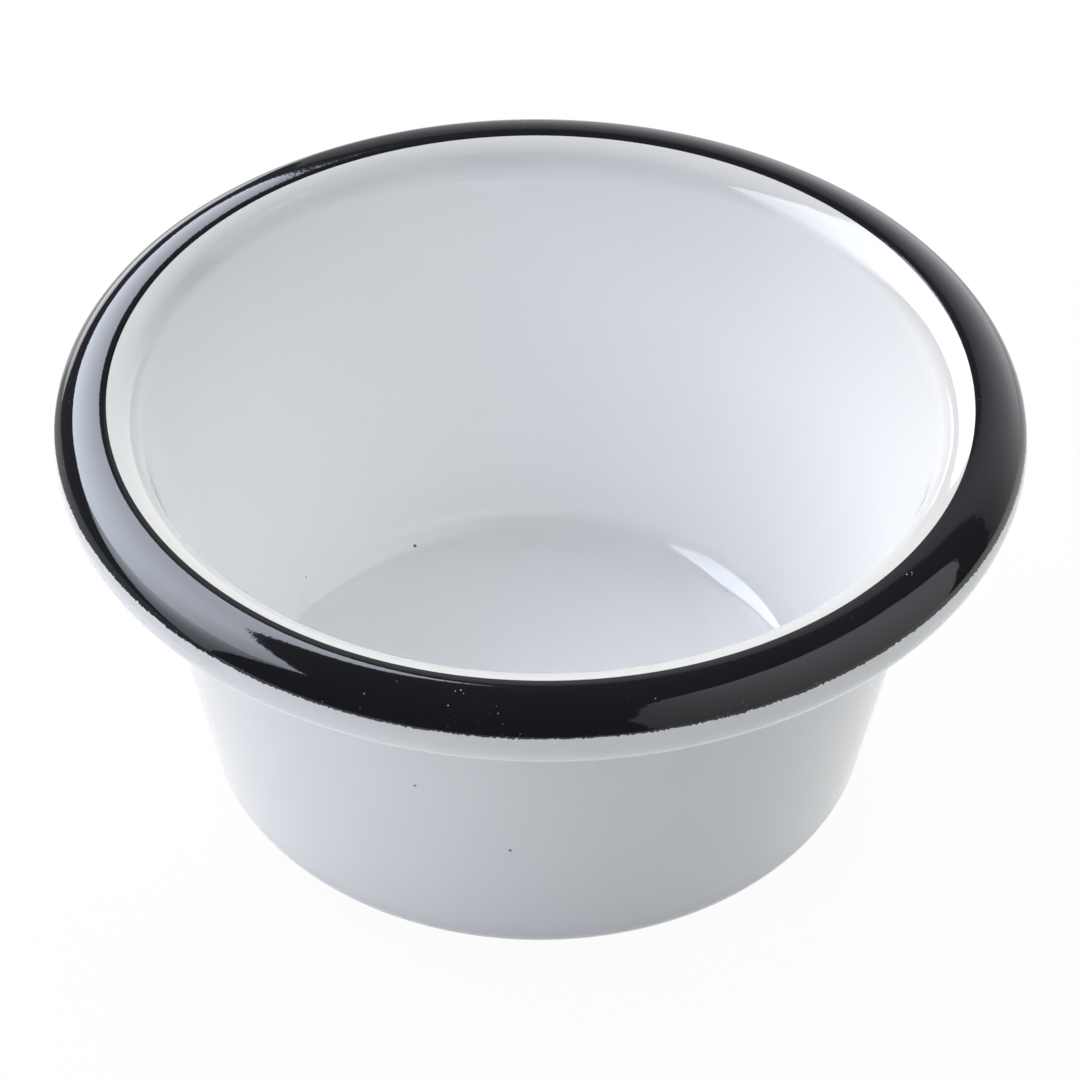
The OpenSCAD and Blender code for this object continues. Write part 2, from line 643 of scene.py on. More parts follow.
@dataclass(frozen=True)
class SheetFinish:
    """Cold-rolled steel sheet, with the fine lines of the rolling."""

    name: str
    colour: Colour
    worn_colour: Colour
    line_length: float = 0.4
    line_depth: float = 0.004
    line_strength: float = 0.5
    line_stretch: tuple[float, float, float] = (0.05, 1.0, 1.0)
    cloud_length: float = 4.0
    roughness: float = 0.35
    worn_roughness: float = 0.5

    def material(self, groups: SharedGroups) -> bpy.types.Material:
        """Builds the material.

        Args:
            groups: The shared shader groups.

        Returns:
            The material.
        """
        material, tree = new_material(self.name)
        place = add_node(tree, "ShaderNodeTexCoord").outputs["Object"]
        along = add_node(tree, "ShaderNodeMapping", {"Vector": place, "Scale": self.line_stretch}).outputs[0]
        gloss = add_node(tree, "ShaderNodeGroup", node_tree=groups.gloss)
        gloss.inputs["Peel Length"].default_value = self.line_length * MM
        gloss.inputs["Cloud Length"].default_value = self.cloud_length * MM
        tree.links.new(along, gloss.inputs["Position"])
        tone = blend(tree, gloss.outputs["Cloud"], (*self.colour, 1), (*self.worn_colour, 1))
        sheen = add_node(tree, "ShaderNodeMapRange", {
            "Value": gloss.outputs["Cloud"], "To Min": self.roughness, "To Max": self.worn_roughness})
        bump = add_node(tree, "ShaderNodeBump", {
            "Height": gloss.outputs["Height"], "Strength": self.line_strength,
            "Distance": self.line_depth * MM})
        shader = add_node(tree, "ShaderNodeBsdfPrincipled", {
            "Base Color": tone, "Roughness": sheen.outputs[0], "Normal": bump.outputs[0],
            "Metallic": 1.0})
        add_node(tree, "ShaderNodeOutputMaterial", {"Surface": shader.outputs[0]})
        return material


# The white's painted shade darkens it to 0.93 over the floor and to 0.775 on the lip.
WHITE_ENAMEL = EnamelFinish(
    "white_enamel_gloss", colour=(0.86, 0.87, 0.89), cloud_colour=(0.845, 0.858, 0.88),
    speck_colour=(0.45, 0.47, 0.50), roughness=0.03, cloud_roughness=0.05, refraction=1.52, peel_depth=0.0012,
    speck_share=0.012, painted_shade_stops=((1.3, 0.93), (3.4, 1.0), (35.0, 1.0), (36.3, 0.775)))
BLACK_ENAMEL = EnamelFinish(
    "black_enamel_gloss", colour=(0.006, 0.006, 0.008), cloud_colour=(0.010, 0.010, 0.013),
    speck_colour=(0.16, 0.16, 0.17), roughness=0.03, cloud_roughness=0.07, refraction=1.55, peel_length=0.4,
    peel_depth=0.0017, speck_spacing=0.9, speck_share=0.02)
GROUND_ENAMEL = EnamelFinish(
    "ground_coat_gloss", colour=(0.03, 0.04, 0.07), cloud_colour=(0.045, 0.055, 0.09),
    speck_colour=(0.10, 0.11, 0.14), roughness=0.25, cloud_roughness=0.38, refraction=1.5)
PINHOLE_WHITE = EnamelFinish(
    "pinhole_white", colour=(0.62, 0.63, 0.66), cloud_colour=(0.40, 0.41, 0.44),
    speck_colour=(0.30, 0.30, 0.32), roughness=0.4, cloud_roughness=0.6, refraction=1.5, cloud_length=0.3)
IRON_SPECK = EnamelFinish(
    "iron_speck", colour=(0.10, 0.11, 0.14), cloud_colour=(0.16, 0.17, 0.21),
    speck_colour=(0.05, 0.05, 0.06), roughness=0.3, cloud_roughness=0.5, refraction=1.5, cloud_length=0.2)
STEEL_SHEET = SheetFinish("steel_sheet_rolled", colour=(0.42, 0.43, 0.45), worn_colour=(0.34, 0.345, 0.36))


# Turned coats

# Points closer than this, in metres, are joined where a turned coat meets itself
JOIN_DISTANCE = 1e-7
FRAY_ROUGHNESS = 0.62


def turning_tree() -> bpy.types.NodeTree:
    """Geometry tree that turns a profile about the Z axis into a closed coat.

    Each row of a grid takes a profile point and each column a place round the axis. Points with a fray
    weight are swung about a centre in the section by two noises, one slow and one fine.

    Returns:
        The tree.
    """
    tree = new_group(
        "Turned coat",
        "GeometryNodeTree",
        {"Profile": "NodeSocketGeometry", "Segments": "NodeSocketInt", "Fray Centre": "NodeSocketVector",
         "Drift": "NodeSocketFloat", "Drift Waves": "NodeSocketFloat", "Fray": "NodeSocketFloat",
         "Fray Waves": "NodeSocketFloat", "Seed": "NodeSocketFloat", "Sharp Angle": "NodeSocketFloat",
         "Material": "NodeSocketMaterial"},
        {"Coat": "NodeSocketGeometry"},
    )
    given = tree.nodes.new("NodeGroupInput").outputs
    made = tree.nodes.new("NodeGroupOutput").inputs
    counts = add_node(tree, "GeometryNodeAttributeDomainSize", {0: given["Profile"]}, component="MESH")
    rows, columns = counts.outputs["Point Count"], whole(tree, "ADD", given["Segments"], 1)
    grid = add_node(tree, "GeometryNodeMeshGrid", {"Vertices X": columns, "Vertices Y": rows}).outputs["Mesh"]
    index = add_node(tree, "GeometryNodeInputIndex").outputs[0]
    row, column = whole(tree, "MODULO", index, rows), whole(tree, "DIVIDE_FLOOR", index, rows)
    turn = calc(tree, "MULTIPLY", calc(tree, "DIVIDE", column, given["Segments"]), math.tau)
    place = add_node(tree, "GeometryNodeInputPosition").outputs[0]
    weight = attribute(tree, "fray", "FLOAT")
    point = add_node(tree, "GeometryNodeSampleIndex", {
        "Geometry": given["Profile"], "Value": place, "Index": row}, data_type="FLOAT_VECTOR").outputs[0]
    loose = add_node(tree, "GeometryNodeSampleIndex", {
        "Geometry": given["Profile"], "Value": weight, "Index": row}, data_type="FLOAT").outputs[0]
    cosine, sine = calc(tree, "COSINE", turn), calc(tree, "SINE", turn)
    round_axis = add_node(tree, "ShaderNodeCombineXYZ", {"X": cosine, "Y": sine}).outputs[0]
    swing = 0.0
    for amount, waves, detail in (("Drift", "Drift Waves", 2.0), ("Fray", "Fray Waves", 3.0)):
        noise = add_node(tree, "ShaderNodeTexNoise", {
            "Vector": round_axis, "W": given["Seed"], "Scale": given[waves], "Detail": detail,
            "Roughness": FRAY_ROUGHNESS}, noise_dimensions="4D").outputs[0]
        level = calc(tree, "MULTIPLY_ADD", noise, 2.0, -1.0)
        swing = calc(tree, "MULTIPLY_ADD", level, given[amount], swing)
    angle = calc(tree, "RADIANS", calc(tree, "MULTIPLY", swing, loose))
    swung = add_node(tree, "ShaderNodeVectorRotate", {
        "Vector": point, "Center": given["Fray Centre"], "Angle": angle}, rotation_type="Y_AXIS").outputs[0]
    parts = add_node(tree, "ShaderNodeSeparateXYZ", {0: swung}).outputs
    turned = add_node(tree, "ShaderNodeCombineXYZ", {
        "X": calc(tree, "MULTIPLY", parts["X"], cosine),
        "Y": calc(tree, "MULTIPLY", parts["X"], sine),
        "Z": parts["Z"]}).outputs[0]
    moved = add_node(tree, "GeometryNodeSetPosition", {"Geometry": grid, "Position": turned}).outputs[0]
    closed = add_node(tree, "GeometryNodeMergeByDistance", {
        "Geometry": moved, "Distance": JOIN_DISTANCE}).outputs[0]
    smooth = add_node(tree, "GeometryNodeSetShadeSmooth", {
        "Geometry": closed, "Shade Smooth": True}, domain="FACE").outputs[0]
    bend = add_node(tree, "GeometryNodeInputMeshEdgeAngle").outputs["Unsigned Angle"]
    sharp = calc(tree, "GREATER_THAN", bend, calc(tree, "RADIANS", given["Sharp Angle"]))
    creased = add_node(tree, "GeometryNodeSetShadeSmooth", {
        "Geometry": smooth, "Selection": sharp, "Shade Smooth": False}, domain="EDGE").outputs[0]
    real = add_node(tree, "GeometryNodeRealizeInstances", {"Geometry": creased}).outputs[0]
    dressed = add_node(tree, "GeometryNodeSetMaterial", {
        "Geometry": real, "Material": given["Material"]}).outputs[0]
    tree.links.new(dressed, made["Coat"])
    return tree


class ProfilePoint(NamedTuple):
    """A point of a coat's profile: its place in the section and how far its edge frays."""

    place: Vector
    fray: float = 0.0


@dataclass
class TurnedCoat:
    """A coat of enamel, turned about the axis from its closed profile."""

    face: FiredFace
    name: str
    node: Node
    slot: Slot
    segments: int = 512
    film: float = 0.02
    fine_turn: float = 2.5
    coarse_turn: float = 9.0
    sharp_angle: float = 40.0
    ring: float = 2.6
    back_ring: float = 10.4
    wall_step: float = 1.3
    lap: float = 3.0
    hem: float = 8.0
    drift: float = 0.0
    drift_waves: float = 9.0
    fray: float = 0.0
    fray_waves: float = 190.0
    seed: float = 4.0

    def profile(self) -> list[ProfilePoint]:
        """The coat's closed profile, clockwise with the radius to the right and the height up."""
        raise NotImplementedError

    def build(self, tree: bpy.types.NodeTree, material: bpy.types.Material) -> bpy.types.Object:
        """Turns the profile and gives the coat its finish.

        Args:
            tree: The geometry tree that turns profiles.
            material: The finish.

        Returns:
            The coat, riding on the dish in its node's place.
        """
        points = self.profile()
        mesh = bpy.data.meshes.new(self.name + "_profile")
        mesh.from_pydata([(p.place.x * MM, 0.0, p.place.y * MM) for p in points], [], [])
        mesh.attributes.new("fray", "FLOAT", "POINT").data.foreach_set("value", [p.fray for p in points])
        centre = self.face.shoulder_centre * MM
        piece = apply_tree(bpy.data.objects.new(self.name, mesh), tree, {
            "Segments": self.segments, "Fray Centre": (centre.x, 0.0, centre.y), "Drift": self.drift,
            "Drift Waves": self.drift_waves, "Fray": self.fray, "Fray Waves": self.fray_waves,
            "Seed": self.seed, "Sharp Angle": self.sharp_angle, "Material": material})
        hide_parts(self.node.value)
        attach(piece, Body.DISH.value)
        return piece


@dataclass
class InsideCoat(TurnedCoat):
    """White enamel on the floor, the wall and the lip, lapped under the black band."""

    def profile(self) -> list[ProfilePoint]:
        """Runs along the back face from the axis outwards, then along the face that shows.

        Returns:
            The closed profile.
        """
        f, s = self.face, self.face.packed
        lapped = f.band_start - self.lap
        back = s.bowl(s.cover, self.back_ring, self.coarse_turn)
        back += s.rim(s.cover, s.wall_normal, lapped, self.coarse_turn)
        face = f.bowl.bowl(0.0, self.ring, self.fine_turn)
        rim = f.rim(0.0, f.bowl.wall_normal, f.band_start, self.fine_turn)
        face += straight(face[-1], rim[0], self.wall_step) + rim
        face += f.rim(self.film, f.band_start, lapped, self.lap)
        return [ProfilePoint(p) for p in back + face[::-1]]


@dataclass
class OutsideCoat(TurnedCoat):
    """White enamel on the base, the wall, the corner under the roll and the roll's outer side."""

    corner_turn: float = 5.0
    side_turn: float = 2.0

    def profile(self) -> list[ProfilePoint]:
        """Runs along the face that shows, from the axis of the base to the black band, then the back face.

        Returns:
            The closed profile.
        """
        f, s = self.face, self.face.packed
        seam = s.under_roll(s.roll_radius + s.seam_radius, s.wall + s.seam_radius)
        tip = s.under_roll(s.roll_radius - s.cover, s.wall - s.cover + s.edge_gap)
        lapped = f.band_end + self.hem
        face = s.bowl(s.wall, self.ring, self.fine_turn)
        corner = [seam + s.seam_radius * toward(a)
                  for a in spread(s.wall_normal, s.roll_angle(seam) + 180.0, self.corner_turn)]
        face += straight(face[-1], corner[0], self.wall_step) + corner
        face += s.rim(0.0, s.roll_angle(seam), 0.0, self.fine_turn)[1:]
        for angle in spread(self.side_turn, lapped, self.side_turn):
            ease = min(1.0, angle / (f.band_end - self.hem))
            face.append(f.rim_point(self.film * ease * ease * (3.0 - 2.0 * ease), angle))
        back = s.rim(s.cover, lapped, s.roll_angle(tip), self.coarse_turn)
        inside_wall = toward(s.wall_normal)
        beside = (s.wall_top - tip).dot(inside_wall)
        back.append(tip + (beside - s.wall + s.cover) * inside_wall)
        back += s.bowl(s.wall - s.cover, self.back_ring, self.coarse_turn)[::-1]
        return [ProfilePoint(p) for p in face + back]


@dataclass
class BlackBand(TurnedCoat):
    """Black bead brushed round the crown, a thin film over the white at both edges.

    The ragged edge lists its points, with the share of the film's depth and the turn from the band's end.
    """

    segments: int = 3072
    fine_turn: float = 6.0
    drift: float = 2.0
    fray: float = 7.0
    ragged_edge: tuple[tuple[float, float], ...] = ((1.0, 0.0), (0.3, 0.2), (0.0, 1.2))

    def profile(self) -> list[ProfilePoint]:
        """Runs along the back face from the bowl's side outwards, then along the face that shows.

        Returns:
            The closed profile.
        """
        f, s = self.face, self.face.packed
        inner, outer = f.band_start - self.lap, f.band_end + self.hem
        back = f.rim(self.film, f.band_start, inner, self.lap)
        back += s.rim(s.cover, inner, outer, self.coarse_turn) + [f.rim_point(self.film, outer)]
        points = [ProfilePoint(p) for p in back]
        for share, turn in self.ragged_edge:
            points.append(ProfilePoint(f.rim_point(self.film * share, f.band_end + turn), 1.0))
        points += [ProfilePoint(p) for p in f.rim(0.0, outer, f.band_start, self.fine_turn)]
        return points + [points[0]]


# Marks in the enamel

BEAD_RINGS = 5
WHOLE_TURN = (0.0, 360.0)


class Mark(NamedTuple):
    """A small flaw: its turn about the axis, its place in the section, the face's normal and its radius."""

    turn: float
    place: Vector
    normal: Vector
    radius: float


def marks_tree() -> bpy.types.NodeTree:
    """Geometry tree that sets a flat bead on each marked point, lying on the face there.

    Returns:
        The tree.
    """
    tree = new_group(
        "Marks",
        "GeometryNodeTree",
        {"Points": "NodeSocketGeometry", "Flatness": "NodeSocketFloat", "Sides": "NodeSocketInt",
         "Material": "NodeSocketMaterial"},
        {"Beads": "NodeSocketGeometry"},
    )
    given = tree.nodes.new("NodeGroupInput").outputs
    made = tree.nodes.new("NodeGroupOutput").inputs
    aim, size = attribute(tree, "aim", "FLOAT_VECTOR"), attribute(tree, "size", "FLOAT")
    lying = add_node(tree, "FunctionNodeAlignRotationToVector", {"Vector": aim}, axis="Z").outputs[0]
    bead = add_node(tree, "GeometryNodeMeshUVSphere", {
        "Segments": given["Sides"], "Rings": BEAD_RINGS, "Radius": 1.0}).outputs["Mesh"]
    scale = add_node(tree, "ShaderNodeCombineXYZ", {
        "X": size, "Y": size, "Z": calc(tree, "MULTIPLY", size, given["Flatness"])}).outputs[0]
    beads = add_node(tree, "GeometryNodeInstanceOnPoints", {
        "Points": given["Points"], "Instance": bead, "Rotation": lying, "Scale": scale}).outputs[0]
    real = add_node(tree, "GeometryNodeRealizeInstances", {"Geometry": beads}).outputs[0]
    smooth = add_node(tree, "GeometryNodeSetShadeSmooth", {"Geometry": real, "Shade Smooth": True}).outputs[0]
    dressed = add_node(tree, "GeometryNodeSetMaterial", {
        "Geometry": smooth, "Material": given["Material"]}).outputs[0]
    tree.links.new(dressed, made["Beads"])
    return tree


@dataclass
class Marks:
    """Small flaws that lie in a coat's face."""

    face: FiredFace
    name: str
    slot: Slot
    seed: int
    flatness: float = 0.3
    sides: int = 8

    def marks(self) -> list[Mark]:
        """Every flaw with its place."""
        raise NotImplementedError

    def build(self, tree: bpy.types.NodeTree, material: bpy.types.Material) -> bpy.types.Object:
        """Sets the beads and gives them their finish.

        Args:
            tree: The geometry tree that sets beads.
            material: The finish.

        Returns:
            The beads as one piece, riding on the dish.
        """
        places, aims, sizes = [], [], []
        for mark in self.marks():
            across, along = math.cos(math.radians(mark.turn)), math.sin(math.radians(mark.turn))
            places.append((mark.place.x * across * MM, mark.place.x * along * MM, mark.place.y * MM))
            aims += [mark.normal.x * across, mark.normal.x * along, mark.normal.y]
            sizes.append(mark.radius * MM)
        mesh = bpy.data.meshes.new(self.name + "_points")
        mesh.from_pydata(places, [], [])
        mesh.attributes.new("aim", "FLOAT_VECTOR", "POINT").data.foreach_set("vector", aims)
        mesh.attributes.new("size", "FLOAT", "POINT").data.foreach_set("value", sizes)
        piece = apply_tree(bpy.data.objects.new(self.name, mesh), tree, {
            "Flatness": self.flatness, "Sides": self.sides, "Material": material})
        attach(piece, Body.DISH.value)
        return piece


@dataclass
class BandPinholes(Marks):
    """Pinholes in the black band, where the white below shows through.

    Loose ones keep a margin from the band's two edges. More of them gather about its ragged edge, spread
    by a mean turn and a deviation.
    """

    loose: int = 70
    sizes: tuple[float, float] = (0.012, 0.03)
    outer_margin: float = 8.0
    inner_margin: float = 4.0
    edge_loose: int = 150
    edge_sizes: tuple[float, float] = (0.012, 0.035)
    edge_spread: tuple[float, float] = (3.0, 6.0)
    in_front: tuple[Spot, ...] = (
        (-99.0, 81.3, 0.07), (-99.6, 79.3, 0.05), (-98.6, 78.0, 0.04), (-100.1, 59.0, 0.06),
        (-94.4, 54.3, 0.05), (-76.5, 67.0, 0.05), (-38.6, 87.4, 0.07), (-37.9, 85.3, 0.06),
        (-38.2, 83.3, 0.04), (-109.8, 52.6, 0.05))

    def marks(self) -> list[Mark]:
        """Lists the pinholes in front, loose ones over the band and more near its ragged edge.

        Returns:
            The pinholes.
        """
        f = self.face
        chance = random.Random(self.seed)
        spots = list(self.in_front)
        for _ in range(self.loose):
            angle = chance.uniform(f.band_end + self.outer_margin, f.band_start - self.inner_margin)
            spots.append((chance.uniform(*WHOLE_TURN), angle, chance.uniform(*self.sizes)))
        for _ in range(self.edge_loose):
            angle = f.band_end + abs(chance.gauss(*self.edge_spread))
            spots.append((chance.uniform(*WHOLE_TURN), angle, chance.uniform(*self.edge_sizes)))
        return [Mark(turn, f.rim_point(0.0, angle), toward(angle), radius) for turn, angle, radius in spots]


@dataclass
class IronSpecks(Marks):
    """Dark specks in the white: on the wall outside, by height, and in the floor's corner, by angle."""

    in_front: tuple[Spot, ...] = ((-107.6, 21.0, 0.14), (-93.9, 14.0, 0.15))
    in_corner: tuple[Spot, ...] = ((118.0, 121.0, 0.17), (145.0, 166.6, 0.09))
    loose: int = 14
    turns: tuple[float, float] = (0.0, 180.0)
    heights: tuple[float, float] = (6.0, 28.0)
    sizes: tuple[float, float] = (0.04, 0.10)

    def marks(self) -> list[Mark]:
        """Lists the specks in front, a few loose ones on the back of the wall, and the corner's.

        Returns:
            The specks.
        """
        s, bowl = self.face.packed, self.face.bowl
        chance = random.Random(self.seed)
        out = -toward(s.wall_normal)
        foot = s.fillet_centre - (s.floor_fillet + s.wall) * toward(s.wall_normal)
        slope = math.tan(math.radians(s.wall_lean))
        spots = list(self.in_front)
        for _ in range(self.loose):
            turn, height = chance.uniform(*self.turns), chance.uniform(*self.heights)
            spots.append((turn, height, chance.uniform(*self.sizes)))
        marks = [Mark(turn, Vector((foot.x + (height - foot.y) * slope, height)), out, radius)
                 for turn, height, radius in spots]
        for turn, angle, radius in self.in_corner:
            corner = bowl.fillet_centre - bowl.floor_fillet * toward(angle)
            marks.append(Mark(turn, corner, toward(angle), radius))
        return marks


# Studio


def plane_direction(azimuth: float) -> Vector:
    """Level direction at an azimuth: 0 points behind the dish, 90 to its right."""
    return Vector((math.sin(math.radians(azimuth)), math.cos(math.radians(azimuth)), 0.0))


def sky_direction(azimuth: float, elevation: float) -> Vector:
    """Direction at an azimuth and an elevation."""
    rise = math.radians(elevation)
    return plane_direction(azimuth) * math.cos(rise) + Vector((0.0, 0.0, math.sin(rise)))


class Bearing(NamedTuple):
    """A direction from the middle of the rim: its azimuth and its elevation."""

    azimuth: float
    elevation: float


def studio_piece(name: str, points: list, faces: list, material: bpy.types.Material) -> bpy.types.Object:
    """Makes a mesh that stands round the dish and isn't part of it.

    Args:
        name: The piece's name.
        points: Its points, in metres.
        faces: Its faces, by the numbers of their points.
        material: Its material.

    Returns:
        The piece.
    """
    mesh = bpy.data.meshes.new(name)
    mesh.from_pydata(points, [], faces)
    mesh.materials.append(material)
    piece = bpy.data.objects.new(name, mesh)
    bpy.context.scene.collection.objects.link(piece)
    return piece


def show_in_gloss_only(thing: bpy.types.Object) -> None:
    """Hides a studio piece from every ray but those of a glossy reflection."""
    thing.visible_camera = False
    thing.visible_diffuse = False
    thing.visible_transmission = False
    thing.visible_volume_scatter = False
    thing.visible_shadow = False


@dataclass(frozen=True)
class GlowSheet:
    """A softbox or card hung round the dish between two edges, brightest at one spot.

    The sheet shows only in the gloss. A twin that the gloss doesn't see gives its share of the light.
    """

    name: str
    lower: tuple[Bearing, ...]
    upper: tuple[Bearing, ...]
    bright: Bearing
    strength: float
    dim_strength: float
    fade: float
    light: float = 0.0
    colour: Colour = (0.93, 0.96, 1.0)
    reach: float = 400.0
    columns: int = 96
    rows: int = 24

    def elevation(self, edge: tuple[Bearing, ...], azimuth: float) -> float:
        """Elevation of an edge at an azimuth.

        Args:
            edge: The edge's corners from left to right.
            azimuth: The azimuth.

        Returns:
            The elevation on the straight run between two corners.
        """
        for left, right in zip(edge, edge[1:]):
            if azimuth <= right.azimuth:
                share = (azimuth - left.azimuth) / (right.azimuth - left.azimuth)
                return left.elevation + share * (right.elevation - left.elevation)
        return edge[-1].elevation

    def level(self, azimuth: float, elevation: float) -> float:
        """Strength at a spot of the sheet, falling away from the bright spot."""
        away = math.hypot(azimuth - self.bright.azimuth, elevation - self.bright.elevation) / self.fade
        return self.dim_strength + (self.strength - self.dim_strength) * math.exp(-away * away)

    def build(self, middle: Vector) -> None:
        """Makes the sheet and the twin that lights.

        Args:
            middle: Middle of the rim, in metres.
        """
        gloss = self.sheet(self.name, middle, 1.0)
        show_in_gloss_only(gloss)
        if self.light > 0.0:
            light = self.sheet(self.name + "_light", middle, self.light)
            light.visible_camera = False
            light.visible_glossy = False
            light.visible_shadow = False

    def sheet(self, name: str, middle: Vector, share: float) -> bpy.types.Object:
        """Makes a sheet.

        Args:
            name: The sheet's name.
            middle: Middle of the rim, in metres.
            share: Share of the strength.

        Returns:
            The sheet.
        """
        points, levels, faces = [], [], []
        start, end = self.lower[0].azimuth, self.lower[-1].azimuth
        for i in range(self.columns + 1):
            azimuth = start + (end - start) * i / self.columns
            low, high = self.elevation(self.lower, azimuth), self.elevation(self.upper, azimuth)
            for j in range(self.rows + 1):
                elevation = low + (high - low) * j / self.rows
                points.append(middle + sky_direction(azimuth, elevation) * self.reach * MM)
                levels.append(self.level(azimuth, elevation))
        for i in range(self.columns):
            for j in range(self.rows):
                a = i * (self.rows + 1) + j
                faces.append((a, a + self.rows + 1, a + self.rows + 2, a + 1))
        material, tree = new_material(name)
        level = add_node(tree, "ShaderNodeAttribute", attribute_name="glow").outputs["Fac"]
        glow = add_node(tree, "ShaderNodeEmission", {
            "Color": (*self.colour, 1), "Strength": calc(tree, "MULTIPLY", level, share)})
        add_node(tree, "ShaderNodeOutputMaterial", {"Surface": glow.outputs[0]})
        sheet = studio_piece(name, points, faces, material)
        sheet.data.attributes.new("glow", "FLOAT", "POINT").data.foreach_set("value", levels)
        return sheet


KEY_SOFTBOX = GlowSheet(
    "key_softbox",
    lower=(Bearing(-118, 50), Bearing(-111, 38), Bearing(-90, 26), Bearing(-62, 22), Bearing(-52, 24),
           Bearing(-32, 21), Bearing(-16, 18), Bearing(-12, 22), Bearing(-9.5, 28), Bearing(-6.1, 36),
           Bearing(-1.5, 44)),
    upper=(Bearing(-118, 50), Bearing(-100, 58), Bearing(-75, 62), Bearing(-50, 61), Bearing(-25, 56),
           Bearing(-14, 52), Bearing(-7, 49), Bearing(-1.5, 44)),
    bright=Bearing(-55, 26), strength=9.8, dim_strength=4.0, fade=45.0, light=0.305, colour=(0.82, 0.88, 1.0))
KEY_SKIRT = GlowSheet(
    "key_skirt",
    lower=(Bearing(-118, 50), Bearing(-111, -8), Bearing(-90, 6), Bearing(-62, 22)),
    upper=(Bearing(-118, 50), Bearing(-111, 38), Bearing(-90, 26), Bearing(-62, 22)),
    bright=Bearing(-82, 40), strength=7.5, dim_strength=1.2, fade=25.0, colour=(0.82, 0.88, 1.0))
FILL_CARD = GlowSheet(
    "fill_card",
    lower=(Bearing(57, 53), Bearing(65, 40), Bearing(75, 28), Bearing(83, 14), Bearing(89, -8),
           Bearing(157, -8), Bearing(161, 30)),
    upper=(Bearing(57, 53), Bearing(63, 62), Bearing(75, 69), Bearing(100, 73), Bearing(125, 72),
           Bearing(141, 67), Bearing(152, 57), Bearing(161, 30)),
    bright=Bearing(80, 50), strength=1.35, dim_strength=0.4, fade=70.0, reach=410.0)
BACKDROP = GlowSheet(
    "backdrop",
    lower=(Bearing(-13, -8), Bearing(75, -8)),
    upper=(Bearing(-13, -8), Bearing(-11, 20), Bearing(-5, 33), Bearing(6, 41), Bearing(20, 45),
           Bearing(36, 43), Bearing(50, 38), Bearing(61, 29), Bearing(69, 18), Bearing(75, -8)),
    bright=Bearing(27, 4), strength=2.1, dim_strength=0.1, fade=30.0, reach=420.0)
TABLE_GLARE = GlowSheet(
    "table_glare",
    lower=(Bearing(-50, -16), Bearing(-8, -16)),
    upper=(Bearing(-50, -16), Bearing(-40, 2), Bearing(-29, 8), Bearing(-16, 6), Bearing(-8, -16)),
    bright=Bearing(-28, -4), strength=3.6, dim_strength=0.5, fade=18.0, reach=390.0)
LOW_FLAG = GlowSheet(
    "low_flag",
    lower=(Bearing(-125, -25), Bearing(-55, -25)),
    upper=(Bearing(-125, -5), Bearing(-100, -3), Bearing(-70, -4), Bearing(-55, -9)),
    bright=Bearing(-70, -5), strength=0.6, dim_strength=0.3, fade=30.0, reach=80.0)


@dataclass(frozen=True)
class Lamp:
    """A soft square light that lights the coats and leaves their gloss to the sheets, sized in metres."""

    name: str
    azimuth: float
    elevation: float
    colour: Colour
    power: float
    distance: float = 1.0
    width: float = 0.6

    def build(self, aim: Vector) -> bpy.types.Object:
        """Makes the light.

        Args:
            aim: The point that it faces, in metres.

        Returns:
            The light.
        """
        light = bpy.data.lights.new(self.name, "AREA")
        light.shape = "SQUARE"
        light.size = self.width
        light.color = self.colour
        light.energy = self.power
        lamp = bpy.data.objects.new(self.name, light)
        bpy.context.scene.collection.objects.link(lamp)
        back = sky_direction(self.azimuth, self.elevation)
        lamp.location = aim + back * self.distance
        lamp.rotation_euler = (-back).to_track_quat("-Z", "Y").to_euler()
        lamp.visible_camera = False
        lamp.visible_glossy = False
        return lamp


@dataclass(frozen=True)
class Viewpoint:
    """The photograph's camera."""

    position: tuple[float, float, float] = (0.055, -288.48, 267.95)
    pitch: float = 40.603
    roll: float = 0.583
    lens: float = 150.162

    def build(self) -> bpy.types.Object:
        """Makes the camera and sets it as the scene's own.

        Returns:
            The camera.
        """
        data = bpy.data.cameras.new("viewpoint")
        data.lens = self.lens
        camera = bpy.data.objects.new("viewpoint", data)
        bpy.context.scene.collection.objects.link(camera)
        camera.location = Vector(self.position) * MM
        tilt = Euler((math.radians(90.0 - self.pitch), 0.0, 0.0)).to_quaternion()
        lean = Euler((0.0, 0.0, math.radians(self.roll))).to_quaternion()
        camera.rotation_euler = (tilt @ lean).to_euler()
        bpy.context.scene.camera = camera
        return camera


def seen_mask(tree: bpy.types.NodeTree) -> bpy.types.NodeSocket:
    """Masks the rays that see the background: from the camera, and through gloss and glass.

    Args:
        tree: The tree that gets the nodes.

    Returns:
        The mask's socket.
    """
    path = add_node(tree, "ShaderNodeLightPath").outputs
    glossy = calc(tree, "MAXIMUM", path["Is Camera Ray"], path["Is Glossy Ray"])
    return calc(tree, "MAXIMUM", glossy, path["Is Transmission Ray"])


